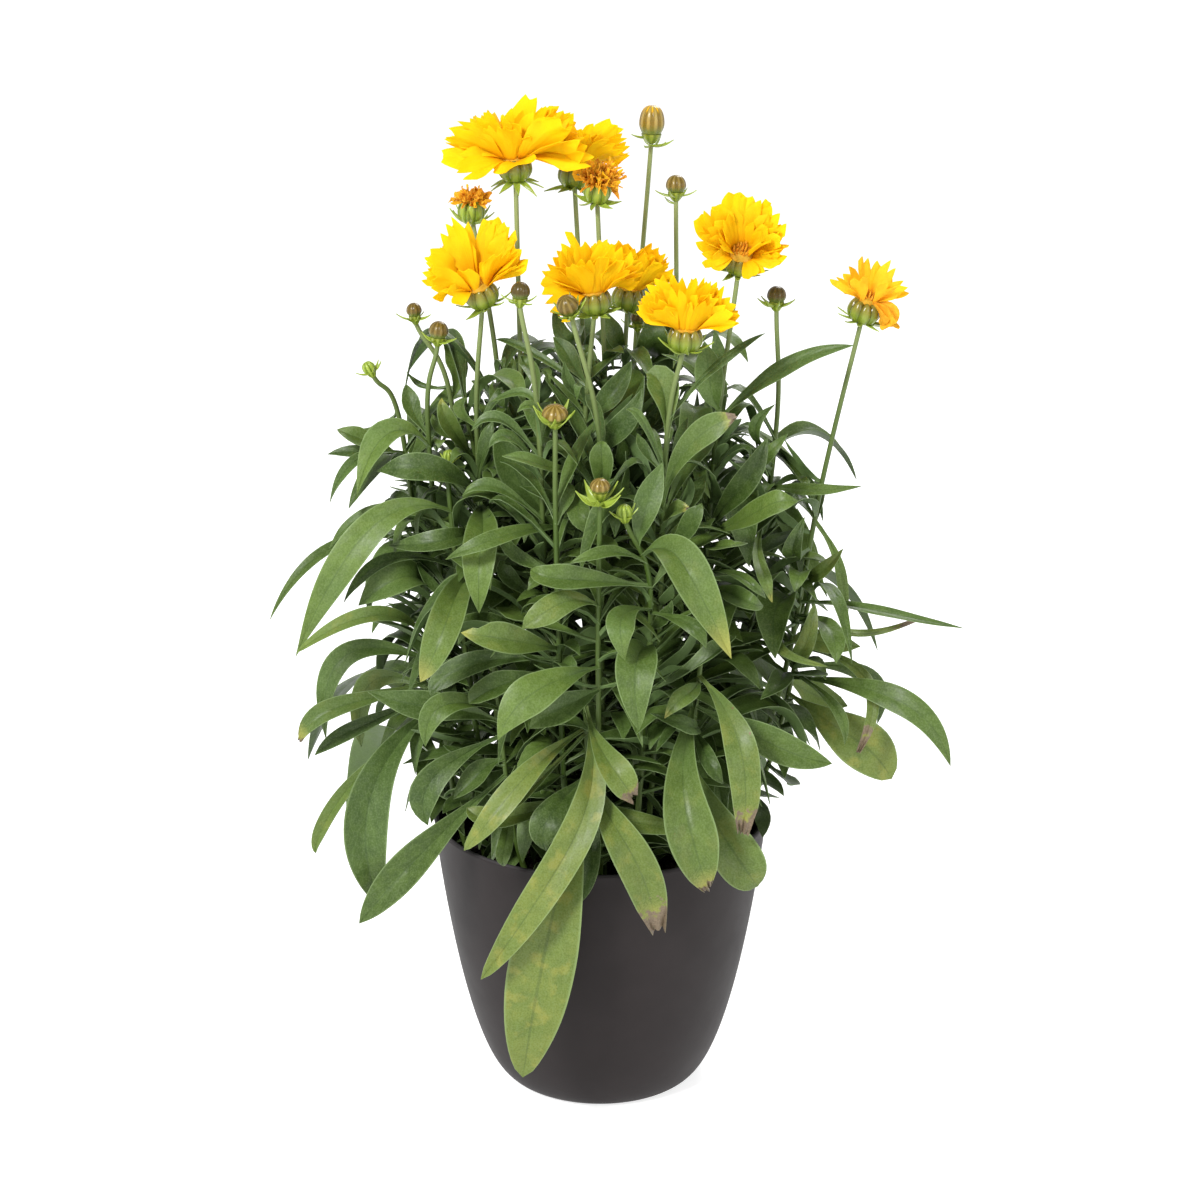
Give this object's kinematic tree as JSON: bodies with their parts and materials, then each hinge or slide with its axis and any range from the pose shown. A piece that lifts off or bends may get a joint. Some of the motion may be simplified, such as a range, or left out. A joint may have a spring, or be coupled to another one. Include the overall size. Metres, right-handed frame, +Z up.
{
  "type": "potted presto large-flowered tickseed",
  "caption": "Bushy tickseed plant with double yellow flowers, brown buds and long narrow leaves, growing in a round dark plastic pot.",
  "frame": {"origin": "centre of the pot's flat base, on the surface that it stands on", "axes": "+Z up along the pot's axis, -Y towards the front that the picture shows, +X to the right"},
  "size_m": [0.3807, 0.2944, 0.5347],
  "materials": {
    "pot": "matte",
    "soil": "matte",
    "leaf": "matte",
    "petal": "matte",
    "withered_petal": "matte",
    "bud": "satin"
  },
  "bodies": {
    "root": {"bud_D": "bud", "bud_E": "bud", "bud_H": "bud", "bud_K": "bud", "bud_L": "bud", "bud_O": "bud", "bud_Q": "bud", "bud_R": "bud", "bud_U": "bud", "bud_V": "bud", "flower_A": "petal", "flower_B": "petal", "flower_C": "withered_petal", "flower_F": "withered_petal", "flower_G": "petal", "flower_I": "petal", "flower_J": "petal", "flower_M": "petal", "flower_N": "petal", "flower_P": "petal", "flower_stem_A": "leaf", "flower_stem_B": "leaf", "flower_stem_C": "leaf", "flower_stem_D": "leaf", "flower_stem_E": "leaf", "flower_stem_F": "leaf", "flower_stem_G": "leaf", "flower_stem_H": "leaf", "flower_stem_I": "leaf", "flower_stem_J": "leaf", "flower_stem_K": "leaf", "flower_stem_L": "leaf", "flower_stem_M": "leaf", "flower_stem_N": "leaf", "flower_stem_O": "leaf", "flower_stem_P": "leaf", "flower_stem_Q": "leaf", "flower_stem_R": "leaf", "flower_stem_S": "leaf", "flower_stem_T": "leaf", "flower_stem_U": "leaf", "flower_stem_V": "leaf", "flower_stem_W": "leaf", "leafy_shoot_X": "leaf", "leafy_shoot_Y": "leaf", "leafy_shoot_Z": "leaf", "leafy_shoot_low_front": "leaf", "leafy_shoot_low_left": "leaf", "leafy_shoot_low_left_front": "leaf", "leafy_shoot_low_right": "leaf", "leafy_shoot_low_right_front": "leaf", "pot": "pot", "soil": "soil"}
  },
  "joints": []
}
